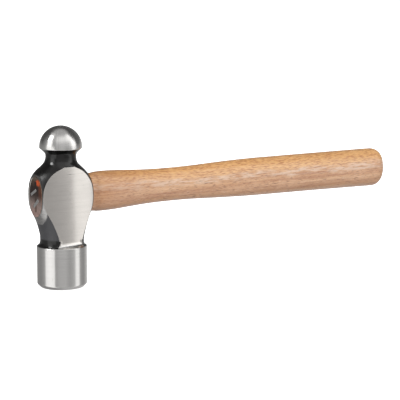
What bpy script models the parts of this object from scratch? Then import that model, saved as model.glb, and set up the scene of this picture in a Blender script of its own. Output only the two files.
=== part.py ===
"""Ball peen hammer: forged steel head, wooden handle, one wooden wedge and two steel wedges.

Frame: the origin is the centre of the flat striking face, +Z runs up the head's axis to the
ball, +X runs along the handle to the end of the grip, and the two ground cheeks face -Y and +Y.
"""

import math

import bpy

MM = 0.001

# ---- poll (striking end) ------------------------------------------------------------------
FACE_R = 17.3 * MM  # flat striking face
EDGE = 2.7 * MM  # bevel round the face
POLL_R = 20.0 * MM
RIM_Z = 33.4 * MM  # top of the poll's cylinder

# ---- forged body: height, half length along X, half width along Y (before the cheeks are ground)
BODY = [
    (33.4, 19.6, 19.6),
    (34.0, 18.5, 18.5),
    (35.2, 17.6, 17.6),
    (37.0, 17.15, 17.3),
    (39.0, 17.0, 17.4),
    (42.0, 17.2, 18.0),
    (46.0, 18.3, 18.9),
    (50.0, 19.5, 20.1),
    (54.0, 21.0, 21.0),
    (58.0, 23.0, 21.4),
    (62.0, 25.0, 21.6),
    (66.0, 26.5, 21.8),
    (71.0, 27.4, 21.9),
    (76.0, 27.5, 21.7),
    (80.0, 27.2, 21.3),
    (84.0, 26.3, 20.7),
    (88.0, 24.6, 19.7),
    (91.0, 22.7, 18.9),
    (94.0, 20.0, 17.7),
    (97.0, 16.5, 15.7),
    (99.0, 14.2, 14.1),
    (101.5, 12.8, 12.8),
    (104.5, 12.25, 12.25),
]

# ---- sideways set of the forging: height, offset along X ------------------------------------
SET = [
    (33.4, 0.0),
    (40.0, 0.35),
    (52.0, 0.4),
    (60.0, 0.15),
    (70.0, -0.4),
    (82.0, -0.5),
    (94.0, -0.7),
    (98.0, -0.4),
    (104.5, 0.0),
]

# ---- ground cheeks -----------------------------------------------------------------------
CHEEK = 14.8 * MM  # half thickness at the middle of a cheek
CHEEK_TOP = 14.2 * MM  # the same at the very top
CHEEK_CROWN_R = 100.0 * MM  # each cheek is slightly round from side to side
CHEEK_TOP_Z = 98.4 * MM
FLARE_R = 4.4 * MM  # hollow where a cheek runs out onto the poll's rim

# ---- neck and ball -----------------------------------------------------------------------
NECK_R = 12.25 * MM
UNDER_R = 12.9 * MM  # foot of the slope under the ball
UNDER_Z = 107.8 * MM
BALL_R = 16.95 * MM
BALL_Z = 112.3 * MM  # centre of the ball
BALL_RIM_Z = 111.2 * MM

# ---- eye ---------------------------------------------------------------------------------
EYE_Z = 74.0 * MM
END_X = -23.2 * MM  # the free end of the eye, ground flush with the wood
EYE_OUT = (9.8 * MM, 16.0 * MM)  # half width, half height at the ground end
EYE_MID = (8.7 * MM, 15.0 * MM)  # waist of the eye
EYE_IN = (8.9 * MM, 15.6 * MM)  # at the handle's side
EYE_MID_X = 2.0 * MM
EYE_IN_X = 27.5 * MM
GAP = 0.3 * MM

# ---- handle: position, half width along Y, half height along Z, roundness ------------------
GRIP_END = 336.8 * MM
HANDLE = [
    (30.0, 10.6, 16.0),
    (36.0, 11.3, 16.2),
    (48.0, 11.4, 16.0),
    (60.0, 10.9, 15.3),
    (78.0, 10.2, 14.3),
    (104.0, 10.0, 13.9),
    (128.0, 10.4, 14.3),
    (150.0, 11.1, 15.2),
    (184.0, 12.1, 16.2),
    (220.0, 12.5, 16.5),
    (256.0, 12.7, 16.7),
    (294.0, 12.9, 17.0),
    (322.0, 13.0, 17.2),
]
BOW = 0.8 * MM  # the handle rises this much in its middle
DROOP = 2.2 * MM  # and its axis leans this much toward the striking face at the grip end
END_ROUND = 11.0 * MM

# ---- wedges ------------------------------------------------------------------------------
WOOD_WEDGE_T = 3.2 * MM  # thickness at the ground end
WOOD_WEDGE_TIP = 1.0 * MM
WOOD_WEDGE_L = 27.0 * MM
WOOD_WEDGE_H = 24.0 * MM  # its height in the eye
STEEL_TIP = 0.7 * MM
STEEL_L = 16.0 * MM
# name, thickness, width, place in the eye (Y, Z from its middle), turn about X from upright
STEELS = (
    ("steel_wedge_upper", 2.2 * MM, 9.6 * MM, (3.3 * MM, 3.3 * MM), math.radians(61.0)),
    ("steel_wedge_lower", 2.6 * MM, 9.6 * MM, (-0.4 * MM, -5.2 * MM), math.radians(50.0)),
)

COLUMNS_NOSE = 12  # facets round each end of the head
COLUMNS_CHEEK = 10  # facets across each cheek
HANDLE_SIDES = 32


# ---- helpers -----------------------------------------------------------------------------
def spline(table, x, column):
    """Smooth curve through the table's points (Catmull-Rom on uneven steps)."""
    n = len(table)
    if x <= table[0][0]:
        return table[0][column]
    if x >= table[-1][0]:
        return table[-1][column]
    i = 0
    while table[i + 1][0] < x:
        i += 1

    def slope(k):
        if k == 0:
            return (table[1][column] - table[0][column]) / (table[1][0] - table[0][0])
        if k == n - 1:
            return (table[-1][column] - table[-2][column]) / (
                table[-1][0] - table[-2][0]
            )
        h0 = table[k][0] - table[k - 1][0]
        h1 = table[k + 1][0] - table[k][0]
        d0 = (table[k][column] - table[k - 1][column]) / h0
        d1 = (table[k + 1][column] - table[k][column]) / h1
        return (d0 * h1 + d1 * h0) / (h0 + h1)

    h = table[i + 1][0] - table[i][0]
    t = (x - table[i][0]) / h
    a, b = table[i][column], table[i + 1][column]
    ma, mb = slope(i) * h, slope(i + 1) * h
    return (
        (2 * t**3 - 3 * t**2 + 1) * a
        + (t**3 - 2 * t**2 + t) * ma
        + (-2 * t**3 + 3 * t**2) * b
        + (t**3 - t**2) * mb
    )


def material(name, colour, metallic, roughness):
    made = bpy.data.materials.new(name)
    made.use_nodes = True
    shader = made.node_tree.nodes["Principled BSDF"]
    shader.inputs["Base Color"].default_value = (*colour, 1.0)
    shader.inputs["Metallic"].default_value = metallic
    shader.inputs["Roughness"].default_value = roughness
    return made


def solid(name, rings, surface=None):
    """A closed loft through rings of points, each with as many points, capped at both ends."""
    points = [p for ring in rings for p in ring]
    n = len(rings[0])
    faces = []
    for i in range(len(rings) - 1):
        for j in range(n):
            k = (j + 1) % n
            faces.append((i * n + j, i * n + k, (i + 1) * n + k, (i + 1) * n + j))
    faces.append(tuple(reversed(range(n))))
    top = (len(rings) - 1) * n
    faces.append(tuple(top + j for j in range(n)))
    mesh = bpy.data.meshes.new(name)
    mesh.from_pydata(points, [], faces)
    mesh.validate()
    made = bpy.data.objects.new(name, mesh)
    bpy.context.scene.collection.objects.link(made)
    if surface:
        mesh.materials.append(surface)
    return made


def smooth(obj, degrees):
    obj.data.shade_smooth()
    obj.data.set_sharp_from_angle(angle=math.radians(degrees))


def subtract(obj, cutter):
    cutter.hide_render = True
    cutter.display_type = "WIRE"
    cut = obj.modifiers.new("cut_" + cutter.name, "BOOLEAN")
    cut.operation = "DIFFERENCE"
    cut.solver = "EXACT"
    cut.object = cutter


# ---- head --------------------------------------------------------------------------------
def cheek_half(z):
    """Half thickness at the middle of a cheek at height z."""
    if z > 80 * MM:
        t = min(1.0, (z - 80 * MM) / (CHEEK_TOP_Z - 80 * MM))
        return CHEEK + (CHEEK_TOP - CHEEK) * t * t
    foot = RIM_Z + FLARE_R
    if z < foot:
        return CHEEK + FLARE_R - math.sqrt(max(0.0, FLARE_R**2 - (foot - z) ** 2))
    return CHEEK


def cheek_edge(z, a, b):
    """Half length of a cheek at height z: where its ground surface leaves the forging."""
    if z < 39 * MM:
        low = [(33.4, 12.3), (34.6, 11.1), (36.0, 10.3), (37.5, 9.8), (39.0, 9.6)]
        return spline(low, z / MM, 1) * MM
    lo, hi = 0.0, a
    for _ in range(40):
        w = 0.5 * (lo + hi)
        c = cheek_half(z) - w * w / (2 * CHEEK_CROWN_R)
        if c < b * math.sqrt(max(0.0, 1 - (w / a) ** 2)):
            lo = w
        else:
            hi = w
    return lo


def body_ring(z, a, b, w, ground):
    """Points at height z, by column: the handle's side, a cheek, the free side, the other cheek."""
    edge = math.asin(min(1.0, w / a))
    lean = spline(SET, z / MM, 1) * MM
    ring = []
    for side in range(4):
        steps = COLUMNS_NOSE if side % 2 == 0 else COLUMNS_CHEEK
        for j in range(steps):
            t = j / steps
            if side % 2 == 0:
                q = (math.pi / 2 - edge) * (2 * t - 1)
                x, y = a * math.cos(q), b * math.sin(q)
            else:
                u = w * (1 - 2 * t)
                x = u
                y = b * math.sqrt(max(0.0, 1 - (u / a) ** 2))
                if ground:
                    y = min(cheek_half(z) - u * u / (2 * CHEEK_CROWN_R), POLL_R)
                    if z < 39 * MM and j in (0,):
                        y = b * math.sqrt(max(0.0, 1 - (u / a) ** 2))
            if side >= 2:
                x, y = -x, -y
            ring.append((x + lean, y, z))
    return ring


def head_rings():
    rim_w = 12.3 * MM
    rings = []
    for z, r in (
        (0.0, FACE_R),
        (0.35 * EDGE, FACE_R + 0.62 * EDGE),
        (EDGE, POLL_R),
        (0.33 * RIM_Z, POLL_R),
        (0.66 * RIM_Z, POLL_R),
        (RIM_Z - 0.4 * MM, POLL_R),
    ):
        rings.append(body_ring(z, r, r, rim_w * r / POLL_R, False))
    heights = [33.4, 34.0, 34.6, 35.2, 36.0, 37.0, 38.0, 39.0, 41.0, 43.5]
    heights += [46.5 + 3.0 * i for i in range(15)]
    heights += [91.0, 93.0, 94.8, 96.2, 97.2, 97.9]
    for h in heights:
        z = h * MM
        a, b = spline(BODY, h, 1) * MM, spline(BODY, h, 2) * MM
        rings.append(body_ring(z, a, b, max(cheek_edge(z, a, b), 2.0 * MM), True))
    for h, w in ((98.6, 2.4), (99.6, 3.2), (101.0, 4.2), (102.8, 5.2), (104.5, 6.0)):
        a, b = spline(BODY, h, 1) * MM, spline(BODY, h, 2) * MM
        rings.append(body_ring(h * MM, a, b, w * MM, False))
    for z, r in (
        (106.4 * MM, NECK_R + 0.15 * MM),
        (UNDER_Z, UNDER_R),
        (0.5 * (UNDER_Z + BALL_RIM_Z), 0.5 * (UNDER_R + BALL_R) - 0.1 * MM),
        (BALL_RIM_Z - 0.15 * MM, BALL_R - 0.35 * MM),
    ):
        rings.append(body_ring(z, r, r, r * 0.5, False))
    steps = 11
    for i in range(steps):
        q = math.pi / 2 * i / steps
        z, r = BALL_Z + BALL_R * math.sin(q), BALL_R * math.cos(q)
        rings.append(body_ring(z, r, r, r * 0.5, False))
    return rings


def oval(x, half_y, half_z, mid_z, sides, power=2.0, turn=0.0):
    ring = []
    for j in range(sides):
        q = 2 * math.pi * j / sides + turn
        c, s = math.cos(q), math.sin(q)
        y = half_y * math.copysign(abs(c) ** (2 / power), c)
        z = half_z * math.copysign(abs(s) ** (2 / power), s)
        ring.append((x, y, mid_z + z))
    return ring


def eye_size(x):
    """Half width and half height of the eye, which narrows to its middle from both sides."""
    if x < EYE_MID_X:
        t, end = (EYE_MID_X - x) / (EYE_MID_X - END_X), EYE_OUT
    else:
        t, end = (x - EYE_MID_X) / (EYE_IN_X - EYE_MID_X), EYE_IN
    t = t * t * (1.6 - 0.6 * t) if t < 1 else t
    return tuple(m + (e - m) * t for m, e in zip(EYE_MID, end))


def make_head():
    steel = material("forged_steel", (0.56, 0.56, 0.55), 1.0, 0.32)
    head = solid("hammer_head", head_rings(), steel)
    eye_rings = []
    for i in range(13):
        x = END_X - 6 * MM + (EYE_IN_X + 6 * MM - END_X + 6 * MM) * i / 12
        hy, hz = eye_size(x)
        eye_rings.append(oval(x, hy, hz, EYE_Z, 40, 2.15))
    eye = solid("eye_cutter", eye_rings)
    end = solid(
        "end_cutter",
        [
            [(x, y, z) for y, z in ((-30 * MM, 0.05), (30 * MM, 0.05), (30 * MM, 0.1), (-30 * MM, 0.1))]
            for x in (-40 * MM, END_X)
        ],
    )
    subtract(head, end)
    subtract(head, eye)
    smooth(head, 24)
    return head


# ---- handle ------------------------------------------------------------------------------
def mid_height(x):
    t = x / GRIP_END
    return EYE_Z + BOW * 4 * t * (1 - t) - DROOP * t if x > 0 else EYE_Z


def handle_rings():
    rings = []
    inside = 9
    for i in range(inside + 1):
        x = END_X + (EYE_IN_X + 0.6 * MM - END_X) * i / inside
        hy, hz = eye_size(x)
        rings.append(oval(x, hy - GAP, hz - GAP, EYE_Z, HANDLE_SIDES, 2.15))
    stations = [30, 33, 37, 42, 50, 58, 68, 80, 94, 108, 122, 136, 150, 166, 184, 205, 230, 256, 282, 306, 322]
    for s in stations:
        x = s * MM
        hy, hz = spline(HANDLE, s, 1) * MM, spline(HANDLE, s, 2) * MM
        rings.append(oval(x, hy, hz, mid_height(x), HANDLE_SIDES, 2.15))
    start = GRIP_END - END_ROUND
    last_y, last_z = HANDLE[-1][1] * MM, HANDLE[-1][2] * MM
    for i in range(6):
        q = math.pi / 2 * i / 6.4
        x = start + END_ROUND * math.sin(q)
        inset = END_ROUND * 0.86 * (1 - math.cos(q))
        rings.append(
            oval(x, last_y - inset, last_z - inset, mid_height(x), HANDLE_SIDES, 2.15)
        )
    return rings


def wedge(name, thick, tip, length, height, middle, turn, x0, surface=None, grow=0.0):
    """A wedge driven in along +X from x0: height runs across the eye, turned about X."""
    y0, z0 = middle
    co, si = math.cos(turn), math.sin(turn)
    rings = []
    for x, half_t in ((x0, thick / 2 + grow), (x0 + length + grow, tip / 2 + grow)):
        half_h = height / 2 + grow
        ring = []
        for u, v in ((-half_t, -half_h), (half_t, -half_h), (half_t, half_h), (-half_t, half_h)):
            ring.append((x, y0 + u * co - v * si, EYE_Z + z0 + u * si + v * co))
        rings.append(ring)
    return solid(name, rings, surface)


def make_handle_and_wedges():
    wood = material("handle_wood", (0.62, 0.40, 0.24), 0.0, 0.42)
    wedge_wood = material("wedge_wood", (0.36, 0.18, 0.10), 0.0, 0.6)
    wedge_steel = material("wedge_steel", (0.45, 0.44, 0.43), 1.0, 0.42)
    handle = solid("handle", handle_rings(), wood)
    wooden = wedge("wood_wedge", WOOD_WEDGE_T, WOOD_WEDGE_TIP, WOOD_WEDGE_L, WOOD_WEDGE_H, (0, 0), 0.0, END_X, wedge_wood)
    kerf = wedge("kerf_cutter", WOOD_WEDGE_T, WOOD_WEDGE_TIP, WOOD_WEDGE_L, WOOD_WEDGE_H, (0, 0), 0.0, END_X - 0.01 * MM, None, GAP)
    # The cutters start outside the wood, so that the slots are open at the ground end.
    for cutter in (kerf,):
        for v in cutter.data.vertices:
            if v.co.x < END_X:
                v.co.x -= 2 * MM
    subtract(handle, kerf)
    steels = []
    for name, thick, width, place, turn in STEELS:
        steels.append(wedge(name, thick, STEEL_TIP, STEEL_L, width, place, turn, END_X, wedge_steel))
        slot = wedge(name + "_slot", thick, STEEL_TIP, STEEL_L, width, place, turn, END_X - 0.01 * MM, None, GAP)
        for v in slot.data.vertices:
            if v.co.x < END_X:
                v.co.x -= 2 * MM
        subtract(handle, slot)
        subtract(wooden, slot)
    smooth(handle, 30)
    return handle, wooden, steels


for old in list(bpy.data.objects):
    bpy.data.objects.remove(old, do_unlink=True)

root = bpy.data.objects.new("hammer", None)
bpy.context.scene.collection.objects.link(root)
made_head = make_head()
made_handle, made_wedge, made_steels = make_handle_and_wedges()
for piece in (made_head, made_handle, made_wedge, *made_steels):
    piece.parent = root
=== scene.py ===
import math

import bpy
import numpy as np
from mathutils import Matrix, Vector


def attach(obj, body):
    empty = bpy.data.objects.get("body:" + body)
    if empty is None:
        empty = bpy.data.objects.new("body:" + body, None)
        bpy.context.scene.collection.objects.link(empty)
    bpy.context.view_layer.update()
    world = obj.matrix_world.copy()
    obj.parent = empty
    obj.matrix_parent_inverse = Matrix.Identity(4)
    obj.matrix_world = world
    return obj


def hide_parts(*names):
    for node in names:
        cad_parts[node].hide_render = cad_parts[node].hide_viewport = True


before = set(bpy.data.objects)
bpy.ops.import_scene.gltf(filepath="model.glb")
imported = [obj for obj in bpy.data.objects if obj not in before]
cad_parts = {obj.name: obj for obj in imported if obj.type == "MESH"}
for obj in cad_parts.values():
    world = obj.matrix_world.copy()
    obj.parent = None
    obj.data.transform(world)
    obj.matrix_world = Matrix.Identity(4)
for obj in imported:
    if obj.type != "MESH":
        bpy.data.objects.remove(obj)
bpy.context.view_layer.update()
MM = 0.001

# ------------------------------------------------------------------ view
# The view is set by the head: where it stands in the frame, how far off it is, and from which side.
AZ, EL, ROLL = math.radians(-35.3), math.radians(8.85), math.radians(0.15)
FOCAL = 1495.0  # in widths of 1/400 of the frame
DIST = 1.2
ANCHOR_AT = (62.35, 285.75)  # where the centre of the striking face falls in the 400 x 400 frame

back = Vector((math.sin(AZ) * math.cos(EL), -math.cos(AZ) * math.cos(EL), math.sin(EL)))
right0 = Vector((math.cos(AZ), math.sin(AZ), 0.0))
up0 = back.cross(right0)
right = right0 * math.cos(ROLL) + up0 * math.sin(ROLL)
up = up0 * math.cos(ROLL) - right0 * math.sin(ROLL)
du, dv = (ANCHOR_AT[0] - 200) / FOCAL, -(ANCHOR_AT[1] - 200) / FOCAL
cam_data = bpy.data.cameras.new("camera")
cam_data.sensor_width = 36.0
cam_data.lens = FOCAL * 36.0 / 400.0
cam_data.clip_end = 100.0
cam = bpy.data.objects.new("camera", cam_data)
bpy.context.scene.collection.objects.link(cam)
cam.location = back * DIST - right * (du * DIST) - up * (dv * DIST)
m = cam.matrix_world.copy()
for row in range(3):
    m[row][0], m[row][1], m[row][2] = right[row], up[row], back[row]
    m[row][3] = cam.location[row]
m[3][0] = m[3][1] = m[3][2] = 0.0
m[3][3] = 1.0
cam.matrix_world = m
bpy.context.scene.camera = cam
bpy.context.scene.view_settings.view_transform = "Standard"

# ------------------------------------------------------------------ sizes, as in the CAD
FACE_R, EDGE, POLL_R, RIM_Z = 17.3, 2.7, 20.0, 33.4
BODY = [
    (33.4, 19.6, 19.6), (34.0, 18.7, 18.7), (35.2, 17.95, 17.95), (37.0, 17.6, 17.7),
    (39.0, 17.5, 17.8), (42.0, 17.7, 18.4), (46.0, 18.6, 19.2), (50.0, 19.6, 20.2),
    (54.0, 21.0, 21.0), (58.0, 23.0, 21.4), (62.0, 25.0, 21.6), (66.0, 26.5, 21.8),
    (71.0, 27.4, 21.9), (76.0, 27.5, 21.7), (80.0, 27.2, 21.3), (84.0, 26.3, 20.7),
    (88.0, 24.6, 19.7), (91.0, 22.7, 18.7), (94.0, 20.0, 17.2), (97.0, 16.5, 15.0),
    (99.0, 14.2, 14.1), (101.5, 12.8, 12.8), (104.5, 12.25, 12.25),
]
CHEEK, CHEEK_TOP, CROWN_R, CHEEK_TOP_Z, FLARE_R = 14.8, 14.2, 100.0, 97.5, 4.4
NECK_R, UNDER_R, UNDER_Z = 12.25, 12.9, 107.8
BALL_R, BALL_Z, BALL_RIM_Z = 17.1, 112.2, 111.2
EYE_Z, END_X = 74.0, -23.2
SET = [
    (33.4, 0.0), (40.0, 0.35), (52.0, 0.4), (60.0, 0.15), (70.0, -0.4), (82.0, -0.5),
    (94.0, -0.7), (98.0, -0.4), (104.5, 0.0),
]
EYE_OUT, EYE_MID, EYE_IN = (9.8, 16.0), (8.7, 15.0), (8.9, 15.6)
EYE_MID_X, EYE_IN_X = 2.0, 27.5
GRIP_END, END_ROUND, BOW = 336.8, 11.0, 0.8
DROOP = 2.2
HANDLE = [
    (30.0, 10.6, 16.0), (36.0, 11.3, 16.2), (48.0, 11.4, 16.0), (60.0, 10.9, 15.3),
    (78.0, 10.2, 14.3), (104.0, 10.0, 13.9), (128.0, 10.4, 14.3), (150.0, 11.1, 15.2),
    (184.0, 12.1, 16.2), (220.0, 12.5, 16.5), (256.0, 12.7, 16.7), (294.0, 12.9, 17.0),
    (322.0, 13.0, 17.2),
]


def spline(table, x, column):
    n = len(table)
    if x <= table[0][0]:
        return table[0][column]
    if x >= table[-1][0]:
        return table[-1][column]
    i = 0
    while table[i + 1][0] < x:
        i += 1

    def slope(k):
        if k == 0:
            return (table[1][column] - table[0][column]) / (table[1][0] - table[0][0])
        if k == n - 1:
            return (table[-1][column] - table[-2][column]) / (table[-1][0] - table[-2][0])
        h0, h1 = table[k][0] - table[k - 1][0], table[k + 1][0] - table[k][0]
        d0 = (table[k][column] - table[k - 1][column]) / h0
        d1 = (table[k + 1][column] - table[k][column]) / h1
        return (d0 * h1 + d1 * h0) / (h0 + h1)

    h = table[i + 1][0] - table[i][0]
    t = (x - table[i][0]) / h
    a, b = table[i][column], table[i + 1][column]
    ma, mb = slope(i) * h, slope(i + 1) * h
    return ((2 * t**3 - 3 * t**2 + 1) * a + (t**3 - 2 * t**2 + t) * ma
            + (-2 * t**3 + 3 * t**2) * b + (t**3 - t**2) * mb)


def smoothstep(a, b, x):
    t = min(1.0, max(0.0, (x - a) / (b - a)))
    return t * t * (3 - 2 * t)


def link(name, mesh):
    o = bpy.data.objects.new(name, mesh)
    bpy.context.scene.collection.objects.link(o)
    return o


# ------------------------------------------------------------------ head surface
def cheek_half(z):
    if z > 80:
        t = min(1.0, (z - 80) / (CHEEK_TOP_Z - 80))
        return CHEEK + (CHEEK_TOP - CHEEK) * t * t
    foot = RIM_Z + FLARE_R
    if z < foot:
        return CHEEK + FLARE_R - math.sqrt(max(0.0, FLARE_R**2 - (foot - z) ** 2))
    return CHEEK


LOW_EDGE = [(33.4, 12.3), (34.6, 11.1), (36.0, 10.3), (37.5, 9.8), (39.0, 9.6)]


def cheek_edge(z, a, b):
    if z < 39:
        return spline(LOW_EDGE, z, 1)
    lo, hi = 0.0, a
    for _ in range(40):
        w = 0.5 * (lo + hi)
        if cheek_half(z) - w * w / (2 * CROWN_R) < b * math.sqrt(max(0.0, 1 - (w / a) ** 2)):
            lo = w
        else:
            hi = w
    return lo


def side_steps(n, near=(0.004, 0.009, 0.02)):
    inner = np.linspace(near[-1] * 2.2, 1 - near[-1] * 2.2, n)
    return [0.0, *near, *inner, *(1 - v for v in reversed(near))]


NOSE_T, CHEEK_T = side_steps(58), side_steps(50)
COLS = 2 * (len(NOSE_T) + len(CHEEK_T))


def ring(z, a, b, w, ground, rounding=True):
    """(points, corner columns) of one level of the head, in millimetres."""
    edge = math.asin(min(1.0, w / a))
    lean = spline(SET, z, 1)
    pts, corners = [], []
    for side in range(4):
        sign = -1.0 if side >= 2 else 1.0
        corners.append(len(pts))
        for t in NOSE_T if side % 2 == 0 else CHEEK_T:
            if side % 2 == 0:
                q = (math.pi / 2 - edge) * (2 * t - 1)
                x, y = a * math.cos(q), b * math.sin(q)
            else:
                x = w * (1 - 2 * t)
                y0 = b * math.sqrt(max(0.0, 1 - (x / a) ** 2))
                y = y0
                if ground:
                    y = min(cheek_half(z) - x * x / (2 * CROWN_R), y0)
                    if z < 39:
                        blend = smoothstep(0.0, 0.07, min(t, 1 - t))
                        y = y0 + (y - y0) * blend
            pts.append((sign * x + lean, sign * y))
    pts = np.array(pts)
    if ground and rounding:
        n = len(pts)
        src = pts.copy()
        for c in corners:
            p0, p1, p2 = src[(c - 2) % n], src[c], src[(c + 2) % n]
            for k, t in ((-1, 0.25), (0, 0.5), (1, 0.75)):
                pts[(c + k) % n] = (1 - t) ** 2 * p0 + 2 * t * (1 - t) * p1 + t * t * p2
    return np.column_stack([pts, np.full(len(pts), z)])


def head_mesh():
    rim_w = 12.3
    rings, kinds = [], []  # kind of the band of faces above each ring: face, poll, land, body, neck, ball

    def add(z, r, kind, w=None):
        rings.append(ring(z, r, r, (rim_w * r / POLL_R) if w is None else w, False))
        kinds.append(kind)

    for r in (1.5, 5.0, 9.0, 13.0, 16.0, 16.9):
        add(0.0, r, "poll")
    for z, r in ((0.05, 17.2), (0.2, 17.45), (0.9, 18.15), (1.7, 18.95), (2.35, 19.62), (2.65, 19.86), (3.0, 19.98), (3.4, 20.0)):
        add(z, r, "poll")
    for z in np.linspace(5.0, 32.6, 16):
        add(float(z), POLL_R, "poll")
    for z, r in ((32.9, 19.99), (33.1, 19.94), (33.25, 19.84)):
        add(z, r, "poll")
    heights = [33.4, 33.6, 33.8, 34.05, 34.3, 34.6, 34.95, 35.35, 35.8, 36.3, 36.9, 37.5, 38.1, 38.7, 39.3]
    heights += list(np.linspace(40.0, 92.0, 75)) 
    heights += [CHEEK_TOP_Z - 6.4 * (1 - s) ** 1.9 for s in np.linspace(0.0, 0.985, 22)][1:]
    wtop = None
    for z in heights:
        a, b = spline(BODY, z, 1), spline(BODY, z, 2)
        w = max(cheek_edge(z, a, b), 0.35)
        rings.append(ring(z, a, b, w, True))
        kinds.append("body")
        wtop = w
    z0 = heights[-1]
    neck = list(np.linspace(z0 + 0.5, 104.5, 16))
    for i, z in enumerate(neck):
        a, b = spline(BODY, z, 1), spline(BODY, z, 2)
        w = wtop + (a * 0.62 - wtop) * smoothstep(-0.08, 1.0, (i + 1) / len(neck))
        rings.append(ring(z, a, b, w, False))
        kinds.append("neck")
    kinds[kinds.index("neck") - 1] = "neck"
    for z, r in ((105.4, 12.3), (106.3, 12.42), (107.1, 12.62), (107.7, 12.9), (108.3, 13.4), (109.2, 14.35), (110.1, 15.35), (110.75, 16.1)):
        add(z, r, "neck", r * 0.62)
    for z, r in ((111.05, 16.55), (111.2, 16.8), (111.35, 16.97), (111.6, 17.05), (111.95, 17.09)):
        add(z, r, "ball", r * 0.62)
    for q in np.linspace(0.0, math.pi / 2, 44)[:-1]:
        r = BALL_R * math.cos(q)
        add(BALL_Z + BALL_R * math.sin(q), r, "ball", r * 0.62)
    pts = np.concatenate(rings)
    n = COLS
    # ground free end of the eye: flat, with a soft edge
    x = pts[:, 0]
    over = -x + END_X  # positive where metal was ground off
    k = 0.5
    h = np.clip(0.5 + 0.5 * ((-END_X) + x) / k, 0, 1)
    flat = -((-END_X) * (1 - h) + (-x) * h - k * h * (1 - h))
    pts[:, 0] = np.where(x < 0, flat, x)
    faces, mats = [], []
    i1 = len(NOSE_T)
    cheek_cols = np.zeros(n, bool)
    cheek_cols[i1:i1 + len(CHEEK_T)] = True
    cheek_cols[2 * i1 + len(CHEEK_T):] = True
    for i in range(len(rings) - 1):
        kind = kinds[i]
        for j in range(n):
            kk = (j + 1) % n
            faces.append((i * n + j, i * n + kk, (i + 1) * n + kk, (i + 1) * n + j))
            if kind in ("poll", "ball"):
                mats.append(0)
            elif kind == "body":
                mats.append(0 if cheek_cols[j] else 1)
            else:
                mats.append(1)
    base, top = len(pts), len(pts) + 1
    pts = np.concatenate([pts, [[0, 0, 0.0], [0, 0, BALL_Z + BALL_R]]])
    over = np.concatenate([over, [-50, -50]])
    last = (len(rings) - 1) * n
    for j in range(n):
        faces.append((base, (j + 1) % n, j))
        mats.append(0)
        faces.append((top, last + j, last + (j + 1) % n))
        mats.append(0)
    mesh = bpy.data.meshes.new("hammer_head_looks")
    mesh.from_pydata([tuple(p * MM) for p in pts], [], faces)
    mesh.polygons.foreach_set("material_index", mats)
    attribute = mesh.attributes.new("end_cut", "FLOAT", "POINT")
    attribute.data.foreach_set("value", over.astype(np.float32))
    mesh.update()
    return mesh


def loft(name, rings, cap=True):
    n = len(rings[0])
    points = [tuple(c * MM for c in p) for r in rings for p in r]
    faces = []
    for i in range(len(rings) - 1):
        for j in range(n):
            k = (j + 1) % n
            faces.append((i * n + j, i * n + k, (i + 1) * n + k, (i + 1) * n + j))
    if cap:
        faces.append(tuple(reversed(range(n))))
        faces.append(tuple((len(rings) - 1) * n + j for j in range(n)))
    mesh = bpy.data.meshes.new(name)
    mesh.from_pydata(points, [], faces)
    mesh.update()
    return mesh


def oval(x, hy, hz, mid, sides, power=2.15, y0=0.0):
    out = []
    for j in range(sides):
        q = 2 * math.pi * j / sides
        c, s = math.cos(q), math.sin(q)
        out.append((x, y0 + hy * math.copysign(abs(c) ** (2 / power), c), mid + hz * math.copysign(abs(s) ** (2 / power), s)))
    return out


def eye_size(x):
    if x < EYE_MID_X:
        t, end = (EYE_MID_X - x) / (EYE_MID_X - END_X), EYE_OUT
    else:
        t, end = (x - EYE_MID_X) / (EYE_IN_X - EYE_MID_X), EYE_IN
    t = t * t * (1.6 - 0.6 * t) if t < 1 else t
    return tuple(m_ + (e - m_) * t for m_, e in zip(EYE_MID, end))


def apply_boolean(obj, cutter):
    mod = obj.modifiers.new("cut", "BOOLEAN")
    mod.operation, mod.solver, mod.object = "DIFFERENCE", "EXACT", cutter
    bpy.context.view_layer.update()
    graph = bpy.context.evaluated_depsgraph_get()
    done = bpy.data.meshes.new_from_object(obj.evaluated_get(graph))
    obj.modifiers.remove(mod)
    old = obj.data
    obj.data = done
    bpy.data.meshes.remove(old)
    bpy.data.objects.remove(cutter, do_unlink=True)


def soften(mesh, degrees=35):
    mesh.shade_smooth()
    mesh.set_sharp_from_angle(angle=math.radians(degrees))


head_data = head_mesh()
bright = bpy.data.materials.new("bright_steel")
black = bpy.data.materials.new("black_lacquer")
head_data.materials.append(bright)
head_data.materials.append(black)
head = link("hammer_head_looks", head_data)

eye_rings = []
lip = 0.35
for x in (END_X - 6, END_X - 0.6):
    eye_rings.append(oval(x, EYE_OUT[0] + lip + 0.6, EYE_OUT[1] + lip + 0.6, EYE_Z, 160))
for x in (END_X + lip,):
    hy, hz = eye_size(x)
    eye_rings.append(oval(x, hy, hz, EYE_Z, 160))
for x in np.linspace(END_X + 1.5, EYE_IN_X + 6, 24):
    hy, hz = eye_size(float(x))
    eye_rings.append(oval(float(x), hy, hz, EYE_Z, 160))
apply_boolean(head, link("eye_cut", loft("eye_cut", eye_rings)))
soften(head.data, 38)


# ------------------------------------------------------------------ handle and wedges
def mid_height(x):
    t = x / GRIP_END
    return EYE_Z + BOW * 4 * t * (1 - t) - DROOP * t if x > 0 else EYE_Z


FIT = 0.05
SIDES = 128
rings = []
for x in np.linspace(END_X, EYE_IN_X - 1.0, 26):
    hy, hz = eye_size(float(x))
    rings.append(oval(float(x), hy - FIT, hz - FIT, EYE_Z, SIDES))
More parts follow.
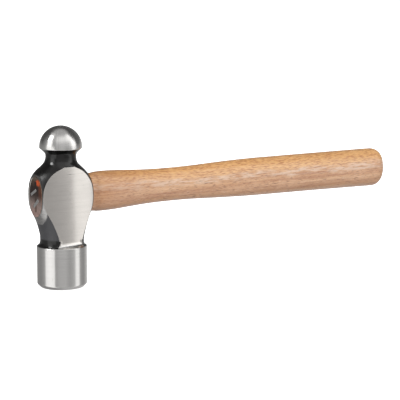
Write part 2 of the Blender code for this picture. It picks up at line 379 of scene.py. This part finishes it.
# the shoulder swells just outside the eye
for x in np.linspace(28.2, 322.0, 190):
    x = float(x)
    hy, hz = spline(HANDLE, x, 1), spline(HANDLE, x, 2)
    if x < 31.5:
        e = eye_size(min(x, EYE_IN_X))
        s = smoothstep(27.0, 31.5, x)
        hy, hz = (e[0] - FIT) * (1 - s) + hy * s, (e[1] - FIT) * (1 - s) + hz * s
    rings.append(oval(x, hy, hz, mid_height(x), SIDES))
start = GRIP_END - END_ROUND
rings.append(oval(0.5 * (322.0 + start), HANDLE[-1][1], HANDLE[-1][2], mid_height(325.0), SIDES))
for i in range(26):
    q = math.pi / 2 * i / 26.0
    inset = END_ROUND * 0.86 * (1 - math.cos(q))
    x = start + END_ROUND * math.sin(q)
    rings.append(oval(x, HANDLE[-1][1] - inset, HANDLE[-1][2] - inset, mid_height(x), SIDES))
for f in (0.8, 0.55, 0.3, 0.08):
    inset = END_ROUND * 0.86
    rings.append(oval(GRIP_END + 0.02 * (1 - f), (HANDLE[-1][1] - inset) * f, (HANDLE[-1][2] - inset) * f, mid_height(GRIP_END), SIDES))
handle = link("handle_looks", loft("handle_looks", rings))


def wedge_mesh(name, thick, tip, length, height, middle, turn, x0, grow=0.0, lead=0.0, divisions=1):
    y0, z0 = middle
    co, si = math.cos(turn), math.sin(turn)
    out = []
    for f in np.linspace(0, 1, divisions + 1):
        x = x0 - lead + (length + grow + lead) * f
        half_t = (thick + (tip - thick) * f) / 2 + grow
        half_h = height / 2 + grow
        ring_ = []
        for u, v in ((-half_t, -half_h), (half_t, -half_h), (half_t, half_h), (-half_t, half_h)):
            ring_.append((x, y0 + u * co - v * si, EYE_Z + z0 + u * si + v * co))
        out.append(ring_)
    return loft(name, out)


WOOD_WEDGE = (3.2, 1.0, 27.0, 24.0, (0.0, 0.0), 0.0)
STEELS = (
    ("steel_wedge_upper", (2.2, 0.7, 16.0, 9.6, (3.3, 3.3), math.radians(61.0))),
    ("steel_wedge_lower", (2.6, 0.7, 16.0, 9.6, (-0.4, -5.2), math.radians(50.0))),
)
apply_boolean(handle, link("kerf", wedge_mesh("kerf", *WOOD_WEDGE, END_X, 0.08, 2.0)))
wooden = link("wood_wedge_looks", wedge_mesh("wood_wedge_looks", *WOOD_WEDGE, END_X, 0.0, 0.0, 8))
steel_pieces = []
for name, size in STEELS:
    for host in (handle, wooden):
        apply_boolean(host, link("slot", wedge_mesh("slot", *size, END_X, 0.07, 2.0)))
    piece = link(name + "_looks", wedge_mesh(name + "_looks", *size, END_X - 0.12, 0.0, 0.0, 6))
    bevel = piece.modifiers.new("edges", "BEVEL")
    bevel.width, bevel.segments, bevel.limit_method = 0.15 * MM, 2, "ANGLE"
    steel_pieces.append((name, piece))
soften(handle.data, 30)
soften(wooden.data, 30)


# ------------------------------------------------------------------ materials
class Nodes:
    def __init__(self, name):
        self.mat = bpy.data.materials.get(name) or bpy.data.materials.new(name)
        self.mat.use_nodes = True
        self.tree = self.mat.node_tree
        self.bsdf = self.tree.nodes["Principled BSDF"]
        self.out = self.tree.nodes["Material Output"]
        self.coord = self.new("ShaderNodeTexCoord").outputs["Object"]

    def new(self, kind, **settings):
        node = self.tree.nodes.new(kind)
        for key, value in settings.items():
            setattr(node, key, value)
        return node

    def put(self, socket, value):
        if hasattr(value, "is_output"):
            self.tree.links.new(value, socket)
        else:
            socket.default_value = value

    def math(self, op, a, b=0.0, c=None, clamp=False):
        node = self.new("ShaderNodeMath", operation=op, use_clamp=clamp)
        self.put(node.inputs[0], a)
        self.put(node.inputs[1], b)
        if c is not None:
            self.put(node.inputs[2], c)
        return node.outputs[0]

    def split(self, vector=None):
        node = self.new("ShaderNodeSeparateXYZ")
        self.put(node.inputs[0], self.coord if vector is None else vector)
        return node.outputs

    def join(self, x, y, z):
        node = self.new("ShaderNodeCombineXYZ")
        for socket, value in zip(node.inputs, (x, y, z)):
            self.put(socket, value)
        return node.outputs[0]

    def scaled(self, x, y, z, vector=None):
        node = self.new("ShaderNodeVectorMath", operation="MULTIPLY")
        self.put(node.inputs[0], self.coord if vector is None else vector)
        node.inputs[1].default_value = (x, y, z)
        return node.outputs[0]

    def noise(self, vector, scale=1.0, detail=2.0, rough=0.5, distortion=0.0):
        node = self.new("ShaderNodeTexNoise")
        self.put(node.inputs["Vector"], vector)
        node.inputs["Scale"].default_value = scale
        node.inputs["Detail"].default_value = detail
        node.inputs["Roughness"].default_value = rough
        node.inputs["Distortion"].default_value = distortion
        return node.outputs["Fac"]

    def ramp(self, value, *stops):
        node = self.new("ShaderNodeValToRGB")
        self.put(node.inputs[0], value)
        points = node.color_ramp.elements
        while len(points) < len(stops):
            points.new(0.5)
        for point, (at, colour) in zip(points, stops):
            point.position = at
            point.color = (*colour, 1.0) if hasattr(colour, "__len__") else (colour, colour, colour, 1.0)
        return node.outputs["Color"]

    def map(self, value, a, b, c=0.0, d=1.0):
        node = self.new("ShaderNodeMapRange", interpolation_type="SMOOTHSTEP")
        self.put(node.inputs["Value"], value)
        for key, v in (("From Min", a), ("From Max", b), ("To Min", c), ("To Max", d)):
            node.inputs[key].default_value = v
        return node.outputs["Result"]

    def mix(self, factor, a, b, blend="MIX"):
        node = self.new("ShaderNodeMix", data_type="RGBA", blend_type=blend)
        self.put(node.inputs[0], factor)
        for socket, value in ((node.inputs[6], a), (node.inputs[7], b)):
            if hasattr(value, "is_output"):
                self.tree.links.new(value, socket)
            else:
                socket.default_value = (*value, 1.0) if hasattr(value, "__len__") else (value, value, value, 1.0)
        return node.outputs[2]

    def bump(self, height, strength, distance, normal=None):
        node = self.new("ShaderNodeBump")
        node.inputs["Strength"].default_value = strength
        node.inputs["Distance"].default_value = distance
        self.put(node.inputs["Height"], height)
        if normal is not None:
            self.put(node.inputs["Normal"], normal)
        return node.outputs["Normal"]


def steel_bright():
    """Turned and linished bright steel: fine lines run round the poll and ball and across the cheeks."""
    n = Nodes("bright_steel")
    x, y, z = n.split()
    lines = n.noise(n.scaled(60, 60, 5200), 1.0, 3.0, 0.65)
    coarse = n.noise(n.scaled(22, 22, 1300), 1.0, 2.0, 0.55)
    cloud = n.noise(n.scaled(60, 60, 60), 1.0, 3.0, 0.6)
    specks = n.noise(n.scaled(620, 620, 620), 1.0, 1.0, 0.5)
    # on the ball the belt's marks fan out from the top
    fan = n.noise(n.math("MULTIPLY", n.math("ARCTAN2", y, x), 1.0), 9.0, 4.0, 0.7)
    away = n.math("SQRT", n.math("ADD", n.math("MULTIPLY", x, x), n.math("MULTIPLY", y, y)))
    spread = n.map(away, 0.0015, 0.009)
    fan = n.math("ADD", 0.5, n.math("MULTIPLY", n.math("SUBTRACT", fan, 0.5), spread))
    ball = n.map(z, 0.1105, 0.1125)
    tone = n.math("ADD", n.math("MULTIPLY", lines, 0.11), n.math("MULTIPLY", coarse, 0.08))
    tone = n.math("ADD", tone, n.math("MULTIPLY", cloud, 0.07))
    tone = n.math("ADD", tone, n.math("MULTIPLY", n.math("MULTIPLY", n.math("SUBTRACT", fan, 0.5), ball), 0.34))
    colour = n.ramp(n.math("ADD", tone, 0.37), (0.30, (0.40, 0.395, 0.388)), (0.50, (0.60, 0.592, 0.580)), (0.68, (0.76, 0.752, 0.740)))
    colour = n.mix(n.math("MULTIPLY", n.map(z, 0.0345, 0.0375), n.map(z, 0.104, 0.099)), colour, (1.0, 0.968, 0.935), "MULTIPLY")
    # small pits and dull specks left in the ground surface
    pit = n.map(specks, 0.755, 0.80)
    colour = n.mix(n.math("MULTIPLY", pit, 0.7), colour, (0.14, 0.135, 0.13))
    n.put(n.bsdf.inputs["Base Color"], colour)
    n.bsdf.inputs["Metallic"].default_value = 1.0
    rough = n.math("ADD", n.math("MULTIPLY", lines, 0.07), n.math("MULTIPLY", cloud, 0.05))
    n.put(n.bsdf.inputs["Roughness"], n.math("ADD", rough, 0.14))
    n.bsdf.inputs["Anisotropic"].default_value = 0.8
    n.bsdf.inputs["Anisotropic Rotation"].default_value = 0.25
    tangent = n.new("ShaderNodeTangent", direction_type="RADIAL", axis="Z")
    n.put(n.bsdf.inputs["Tangent"], tangent.outputs[0])
    height = n.math("ADD", lines, n.math("MULTIPLY", coarse, 0.5))
    height = n.math("ADD", height, n.math("MULTIPLY", n.math("MULTIPLY", fan, ball), 2.0))
    n.put(n.bsdf.inputs["Normal"], n.bump(height, 0.12, 0.0001))
    return n.mat


def forged_black():
    """Black lacquer over the forged skin; ground bare round the free end of the eye."""
    n = Nodes("black_lacquer")
    x, y, z = n.split()
    skin = n.noise(n.scaled(180, 180, 180), 1.0, 4.0, 0.6)
    fine = n.noise(n.scaled(1100, 1100, 1100), 1.0, 2.0, 0.5)
    wave = n.noise(n.scaled(75, 75, 75), 1.0, 2.0, 0.5)
    # satin waist between the eye and the poll
    waist = n.math("MULTIPLY", n.map(z, 0.0385, 0.0405), n.map(z, 0.0640, 0.0570))
    colour = n.mix(waist, n.mix(skin, (0.003, 0.003, 0.0028), (0.008, 0.0075, 0.007)), n.mix(skin, (0.036, 0.036, 0.040), (0.054, 0.054, 0.058)))
    rough = n.math("ADD", n.math("MULTIPLY", waist, 0.26), n.math("ADD", 0.09, n.math("MULTIPLY", skin, 0.08)))
    nose = n.math("MULTIPLY", n.map(z, 0.098, 0.090), n.map(z, 0.056, 0.062))
    rough = n.math("ADD", rough, n.math("MULTIPLY", nose, 0.22))
    # bare metal round the ground end: a thin ring above, a broad apron below the eye
    up_ = n.math("SUBTRACT", z, 0.0742)

    def ellipse(half_y, half_z):
        a = n.math("POWER", n.math("ABSOLUTE", n.math("DIVIDE", y, half_y)), 2.2)
        b = n.math("POWER", n.math("ABSOLUTE", n.math("DIVIDE", up_, half_z)), 2.2)
        return n.math("SUBTRACT", 1.0, n.math("ADD", a, b))

    side = n.map(up_, -0.004, 0.003)
    field = n.math("ADD", n.math("MULTIPLY", ellipse(0.0115, 0.0175), side), n.math("MULTIPLY", ellipse(0.0145, 0.0225), n.math("SUBTRACT", 1.0, side)))
    field = n.math("ADD", field, n.math("MULTIPLY", n.math("SUBTRACT", skin, 0.5), 0.30))
    bare = n.math("MULTIPLY", n.map(field, -0.06, 0.08), n.map(x, -0.012, -0.015))
    streak = n.noise(n.scaled(200, 260, 2600), 1.0, 3.0, 0.6)
    bare_colour = n.ramp(streak, (0.25, (0.24, 0.235, 0.23)), (0.75, (0.52, 0.51, 0.50)))
    bare_colour = n.mix(n.math("MULTIPLY", n.map(up_, -0.008, 0.006), 0.85), bare_colour, (0.13, 0.125, 0.12))
    colour = n.mix(bare, colour, bare_colour)
    n.put(n.bsdf.inputs["Base Color"], colour)
    n.put(n.bsdf.inputs["Metallic"], bare)
    n.put(n.bsdf.inputs["Roughness"], n.math("ADD", n.math("MULTIPLY", rough, n.math("SUBTRACT", 1.0, bare)), n.math("MULTIPLY", bare, 0.38)))
    n.bsdf.inputs["Specular IOR Level"].default_value = 0.4
    height = n.math("ADD", n.math("MULTIPLY", wave, 1.0), n.math("ADD", n.math("MULTIPLY", skin, 0.35), n.math("MULTIPLY", fine, 0.04)))
    n.put(n.bsdf.inputs["Normal"], n.bump(height, 0.45, 0.0008))
    return n.mat


def handle_wood():
    """Varnished pale hardwood: long growth bands, short dark flecks along the grain, yellower on top, with a
    painted highlight band along the upper front and painted shade along the underside and towards the head.
    """
    n = Nodes("varnished_wood")
    x, y, z = n.split()
    warp = n.noise(n.scaled(9, 40, 40), 1.0, 3.0, 0.5)
    bent = n.join(x, y, n.math("ADD", z, n.math("MULTIPLY", warp, 0.006)))
    bands = n.noise(n.scaled(6, 90, 340, bent), 1.0, 4.0, 0.62)
    grain = n.noise(n.scaled(45, 900, 1900, bent), 1.0, 3.0, 0.6)
    fleck = n.noise(n.scaled(230, 800, 1700, bent), 1.0, 1.0, 0.5)
    pore = n.noise(n.scaled(320, 1500, 2600, bent), 1.0, 1.0, 0.5)
    cloud = n.noise(n.scaled(26, 60, 90), 1.0, 3.0, 0.6)
    colour = n.ramp(bands, (0.30, (0.44, 0.192, 0.084)), (0.50, (0.60, 0.318, 0.158)), (0.70, (0.76, 0.47, 0.270)))
    colour = n.mix(n.math("MULTIPLY", n.map(cloud, 0.42, 0.68), 0.45), colour, (0.72, 0.42, 0.24))
    colour = n.mix(n.math("MULTIPLY", n.map(grain, 0.42, 0.66), 0.50), colour, (0.40, 0.175, 0.08))
    colour = n.mix(n.math("MULTIPLY", n.map(fleck, 0.58, 0.70), 0.70), colour, (0.22, 0.085, 0.036))
    colour = n.mix(n.math("MULTIPLY", n.map(fleck, 0.40, 0.28), 0.40), colour, (0.74, 0.53, 0.38))
    colour = n.mix(n.math("MULTIPLY", n.map(pore, 0.64, 0.76), 0.45), colour, (0.19, 0.08, 0.035))
    # height above the handle's own axis
    lift = n.math("ADD", n.math("SUBTRACT", z, 0.0742), n.math("MULTIPLY", x, 0.0055))
    edge = n.math("ADD", lift, n.math("MULTIPLY", n.math("SUBTRACT", cloud, 0.5), 0.008))
    yellow = n.mix(n.map(fleck, 0.45, 0.60), (0.74, 0.42, 0.145), (0.50, 0.215, 0.06))
    colour = n.mix(n.math("MULTIPLY", n.map(edge, 0.0035, 0.0085), 0.62), colour, yellow)
    # painted highlight: a pale, streaky band along the upper front of the handle, where the lamp's sheen falls
    highlight_band = n.math("MULTIPLY", n.map(edge, -0.0010, 0.0022), n.map(edge, 0.0078, 0.0048))
    highlight_streaks = n.noise(n.scaled(70, 260, 620, bent), 1.0, 3.0, 0.65)
    colour = n.mix(n.math("MULTIPLY", n.math("MULTIPLY", highlight_band, n.map(highlight_streaks, 0.40, 0.62)), 0.55), colour, (0.80, 0.63, 0.49))
    # painted shade: darker along the underside of the handle
    colour = n.mix(n.math("MULTIPLY", n.map(edge, -0.005, -0.015), 0.45), colour, (0.42, 0.195, 0.09))
    # painted shade: darker towards the head
    colour = n.mix(n.math("MULTIPLY", n.map(x, 0.115, 0.025), 0.42), colour, (0.40, 0.175, 0.075))
    n.put(n.bsdf.inputs["Base Color"], colour)
    n.put(n.bsdf.inputs["Roughness"], n.math("ADD", 0.32, n.math("MULTIPLY", grain, 0.16)))
    n.bsdf.inputs["Coat Weight"].default_value = 0.6
    n.bsdf.inputs["Coat IOR"].default_value = 1.7
    n.bsdf.inputs["Coat Roughness"].default_value = 0.14
    height = n.math("SUBTRACT", n.math("MULTIPLY", bands, 0.5), n.math("ADD", n.math("MULTIPLY", n.map(fleck, 0.50, 0.70), 0.6), n.math("MULTIPLY", grain, 0.5)))
    height = n.math("ADD", height, n.math("MULTIPLY", cloud, 0.9))
    bumped = n.bump(height, 0.30, 0.0006)
    n.put(n.bsdf.inputs["Normal"], bumped)
    n.put(n.bsdf.inputs["Coat Normal"], n.bump(height, 0.22, 0.0006))
    return n.mat


def end_grain():
    """The handle's end in the eye: open pores, no varnish."""
    n = Nodes("stained_end_grain")
    x, y, z = n.split()
    # sanded end grain inside the eye, stained dark with lacquer at its top
    rings_ = n.noise(n.scaled(10, 900, 420), 1.0, 3.0, 0.6)
    end_colour = n.ramp(n.map(z, 0.056, 0.092), (0.0, (0.26, 0.17, 0.15)), (0.25, (0.20, 0.15, 0.135)), (0.42, (0.10, 0.075, 0.068)), (0.56, (0.020, 0.011, 0.009)), (0.80, (0.012, 0.006, 0.005)), (0.93, (0.05, 0.03, 0.02)), (1.0, (0.09, 0.07, 0.055)))
    end_colour = n.mix(n.math("MULTIPLY", n.map(rings_, 0.4, 0.7), 0.4), end_colour, (0.03, 0.018, 0.013))
    # a small orange stain near the top of the eye, on the near side
    sy = n.math("POWER", n.math("DIVIDE", n.math("ADD", y, 0.0040), 0.0042), 2.0)
    sz = n.math("POWER", n.math("DIVIDE", n.math("SUBTRACT", z, 0.0855), 0.0027), 2.0)
    spot = n.map(n.math("ADD", n.math("ADD", sy, sz), n.math("MULTIPLY", rings_, 0.8)), 1.7, 0.5)
    end_colour = n.mix(spot, end_colour, (0.42, 0.062, 0.014))
    streaky = n.math("MULTIPLY", n.map(y, -0.0035, -0.0060), n.map(z, 0.066, 0.084))
    end_colour = n.mix(n.math("MULTIPLY", streaky, 0.45), end_colour, (0.16, 0.045, 0.016))
    n.put(n.bsdf.inputs["Base Color"], end_colour)
    n.bsdf.inputs["Roughness"].default_value = 0.62
    n.bsdf.inputs["Specular IOR Level"].default_value = 0.25
    n.put(n.bsdf.inputs["Normal"], n.bump(rings_, 0.35, 0.0003))
    return n.mat


def wedge_wood():
    n = Nodes("wedge_end_grain")
    lines = n.noise(n.scaled(30, 1400, 160), 1.0, 3.0, 0.6)
    x, y, z = n.split()
    base = n.ramp(n.map(z, 0.060, 0.088), (0.0, (0.15, 0.10, 0.085)), (0.4, (0.05, 0.034, 0.028)), (0.8, (0.010, 0.005, 0.004)))
    n.put(n.bsdf.inputs["Base Color"], n.mix(n.math("MULTIPLY", n.map(lines, 0.35, 0.7), 0.6), base, (0.03, 0.018, 0.013)))
    n.bsdf.inputs["Roughness"].default_value = 0.6
    n.bsdf.inputs["Specular IOR Level"].default_value = 0.25
    n.put(n.bsdf.inputs["Normal"], n.bump(lines, 0.3, 0.0002))
    return n.mat


def wedge_steel():
    n = Nodes("wedge_steel")
    streak = n.noise(n.scaled(300, 400, 2600), 1.0, 3.0, 0.6)
    spots = n.noise(n.scaled(700, 700, 700), 1.0, 2.0, 0.5)
    colour = n.ramp(streak, (0.25, (0.33, 0.325, 0.32)), (0.75, (0.60, 0.59, 0.58)))
    n.put(n.bsdf.inputs["Base Color"], n.mix(n.math("MULTIPLY", n.map(spots, 0.55, 0.75), 0.5), colour, (0.12, 0.10, 0.09)))
    n.bsdf.inputs["Metallic"].default_value = 1.0
    n.put(n.bsdf.inputs["Roughness"], n.math("ADD", 0.33, n.math("MULTIPLY", streak, 0.2)))
    n.put(n.bsdf.inputs["Normal"], n.bump(streak, 0.2, 0.0001))
    return n.mat


bright, black, wood = steel_bright(), forged_black(), handle_wood()
handle.data.materials.clear()
handle.data.materials.append(wood)
handle.data.materials.append(end_grain())
for p in handle.data.polygons:
    p.material_index = 1 if p.center.x < (END_X + 0.2) * MM or (p.center.x < 0.005 and abs(p.center.y) < 0.006 and abs(p.normal.x) < 0.2) else 0
wooden.data.materials.clear()
wooden.data.materials.append(wedge_wood())
for p in wooden.data.polygons:
    p.material_index = 0
dull = wedge_steel()
for name, piece in steel_pieces:
    piece.data.materials.append(dull)

for piece, node, slot in (
    (head, "hammer_head", "forged_steel"),
    (handle, "handle", "handle_wood"),
    (wooden, "wood_wedge", "wedge_wood"),
    (steel_pieces[0][1], "steel_wedge_upper", "wedge_steel"),
    (steel_pieces[1][1], "steel_wedge_lower", "wedge_steel"),
):
    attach(piece, "root")
    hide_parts(node)

# ------------------------------------------------------------------ stage
floor_mesh = bpy.data.meshes.new("floor")
S = 30.0
floor_mesh.from_pydata([(-S, -S, -0.0004), (S, -S, -0.0004), (S, S, -0.0004), (-S, S, -0.0004)], [], [(0, 1, 2, 3)])
floor = link("floor", floor_mesh)
fm = bpy.data.materials.new("pale_floor")
fm.use_nodes = True
fb = fm.node_tree.nodes["Principled BSDF"]
fb.inputs["Base Color"].default_value = (0.86, 0.86, 0.86, 1)
fb.inputs["Roughness"].default_value = 0.9
fb.inputs["Specular IOR Level"].default_value = 0.1
fb.inputs["Emission Color"].default_value = (1, 1, 1, 1)
fb.inputs["Emission Strength"].default_value = 0.80
floor_mesh.materials.append(fm)
floor.visible_glossy = False
floor.visible_diffuse = False
# a far wall of the same paper, so that low views have no horizon
around_ = [(9.0 * math.cos(2 * math.pi * i / 96), 9.0 * math.sin(2 * math.pi * i / 96)) for i in range(96)]
wall_mesh = bpy.data.meshes.new("backdrop")
wall_mesh.from_pydata(
    [(px, py, -0.001) for px, py in around_] + [(px, py, 5.0) for px, py in around_], [],
    [((i + 1) % 96, i, 96 + i, 96 + (i + 1) % 96) for i in range(96)],
)
wm = bpy.data.materials.new("pale_backdrop")
wm.use_nodes = True
wb = wm.node_tree.nodes["Principled BSDF"]
wb.inputs["Base Color"].default_value = (0.02, 0.02, 0.02, 1)
wb.inputs["Specular IOR Level"].default_value = 0.0
wb.inputs["Emission Color"].default_value = (1, 1, 1, 1)
wb.inputs["Emission Strength"].default_value = 1.05
wall_mesh.materials.append(wm)
wall = link("backdrop", wall_mesh)
wall.visible_glossy = False
wall.visible_diffuse = False
wall.visible_shadow = False

world = bpy.data.worlds.new("studio")
bpy.context.scene.world = world
world.use_nodes = True
wt = world.node_tree
bg = wt.nodes["Background"]


def wnode(kind, **settings):
    node = wt.nodes.new(kind)
    for key, value in settings.items():
        setattr(node, key, value)
    return node


def wput(socket, value):
    if hasattr(value, "is_output"):
        wt.links.new(value, socket)
    else:
        socket.default_value = value


def wmath(op, a, b=0.0, clamp=False):
    node = wnode("ShaderNodeMath", operation=op, use_clamp=clamp)
    wput(node.inputs[0], a)
    wput(node.inputs[1], b)
    return node.outputs[0]


def wramp(value, stops):
    node = wnode("ShaderNodeValToRGB")
    wput(node.inputs[0], value)
    points = node.color_ramp.elements
    while len(points) < len(stops):
        points.new(0.5)
    for point, (at, level) in zip(points, stops):
        point.position = at
        point.color = (level, level, level, 1.0)
    return node.outputs["Color"]


# Softboxes and screens round the object, as brightness against compass direction.
# 0 is the side of the near cheek; the softboxes stand at about -87 and +45.
LOW = [
    (-180, 0.34), (-143, 0.34), (-122, 0.46), (-114, 0.62), (-110, 1.30), (-86, 1.44), (-66, 1.40),
    (-61, 0.52), (-56, 0.50), (-43, 0.60), (-15, 0.64), (6, 0.48), (20, 0.55), (31, 0.66),
    (33, 0.74), (36, 1.24), (50, 1.34), (56, 1.20), (60, 0.55), (74, 0.42), (90, 0.40), (120, 0.74), (150, 0.5), (180, 0.34),
]
MIDDLE = [
    (-180, 0.09), (-150, 0.12), (-125, 0.34), (-111, 0.60), (-106, 1.85), (-82, 1.85), (-77, 0.50), (-70, 0.42),
    (-48, 0.66), (-4, 0.68), (12, 0.72), (24, 0.90), (34, 1.75), (54, 2.10), (61, 0.80), (67, 0.20), (77, 0.13), (120, 0.20), (180, 0.09),
]
HIGH = [
    (-180, 0.08), (-141, 0.10), (-120, 0.20), (-112, 0.60), (-105, 1.35), (-92, 1.35), (-84, 0.65), (-74, 0.62), (-50, 1.15),
    (0, 1.25), (27, 1.60), (48, 2.00), (55, 0.55), (58, 0.16), (100, 0.10), (180, 0.08),
]
coord = wnode("ShaderNodeTexCoord")
parts = wnode("ShaderNodeSeparateXYZ")
wt.links.new(coord.outputs["Generated"], parts.inputs[0])
dx, dy, dz = parts.outputs
angle = wmath("ARCTAN2", dx, wmath("MULTIPLY", dy, -1.0))
turn = wmath("ADD", wmath("DIVIDE", angle, 2 * math.pi), 0.5)
def blend(lo, hi, first, second):
    f = wnode("ShaderNodeMapRange", interpolation_type="SMOOTHSTEP")
    wput(f.inputs["Value"], dz)
    f.inputs["From Min"].default_value = lo
    f.inputs["From Max"].default_value = hi
    node = wnode("ShaderNodeMix", data_type="RGBA")
    wput(node.inputs[0], f.outputs["Result"])
    wput(node.inputs[6], first)
    wput(node.inputs[7], second)
    return node.outputs[2]


low, middle, higher = (wramp(turn, [((d + 180) / 360.0, 0.3 * v) for d, v in t]) for t in (LOW, MIDDLE, HIGH))
mixed = blend(0.36, 0.66, blend(-0.04, 0.18, low, middle), higher)
high = wnode("ShaderNodeMapRange", interpolation_type="SMOOTHSTEP")
wput(high.inputs["Value"], dz)
high.inputs["From Min"].default_value = 0.82
high.inputs["From Max"].default_value = 0.96
topped = wnode("ShaderNodeMix", data_type="RGBA")
wput(topped.inputs[0], high.outputs["Result"])
wput(topped.inputs[6], mixed)
topped.inputs[7].default_value = (0.17, 0.17, 0.17, 1)
tint = wnode("ShaderNodeMix", data_type="RGBA", blend_type="MULTIPLY")
tint.inputs[0].default_value = 1.0
wput(tint.inputs[6], topped.outputs[2])
tint.inputs[7].default_value = (1.0, 0.995, 0.99, 1)
wt.links.new(tint.outputs[2], bg.inputs["Color"])
bg.inputs["Strength"].default_value = 3.3333


def sun(name, azimuth, elevation, energy, angle_):
    a, e = math.radians(azimuth), math.radians(elevation)
    d = Vector((math.sin(a) * math.cos(e), -math.cos(a) * math.cos(e), math.sin(e)))
    data = bpy.data.lights.new(name, "SUN")
    data.energy, data.angle = energy, math.radians(angle_)
    light = bpy.data.objects.new(name, data)
    bpy.context.scene.collection.objects.link(light)
    light.rotation_euler = d.to_track_quat("Z", "Y").to_euler()
    light.visible_glossy = False
    return light


sun("overhead", -20, 68, 0.75, 80)
sun("front_fill", -20, 25, 0.5, 80)


def lamp(name, azimuth, elevation, distance, width, height, power):
    a, e = math.radians(azimuth), math.radians(elevation)
    d = Vector((math.sin(a) * math.cos(e), -math.cos(a) * math.cos(e), math.sin(e)))
    data = bpy.data.lights.new(name, "AREA")
    data.shape, data.size, data.size_y, data.energy = "RECTANGLE", width, height, power
    light = bpy.data.objects.new(name, data)
    bpy.context.scene.collection.objects.link(light)
    light.location = Vector((0.0, 0.0, 0.09)) + d * distance
    light.rotation_euler = d.to_track_quat("Z", "Y").to_euler()
    return light


lamp("key_left", -104, 42, 1.6, 0.40, 0.5, 7.5)
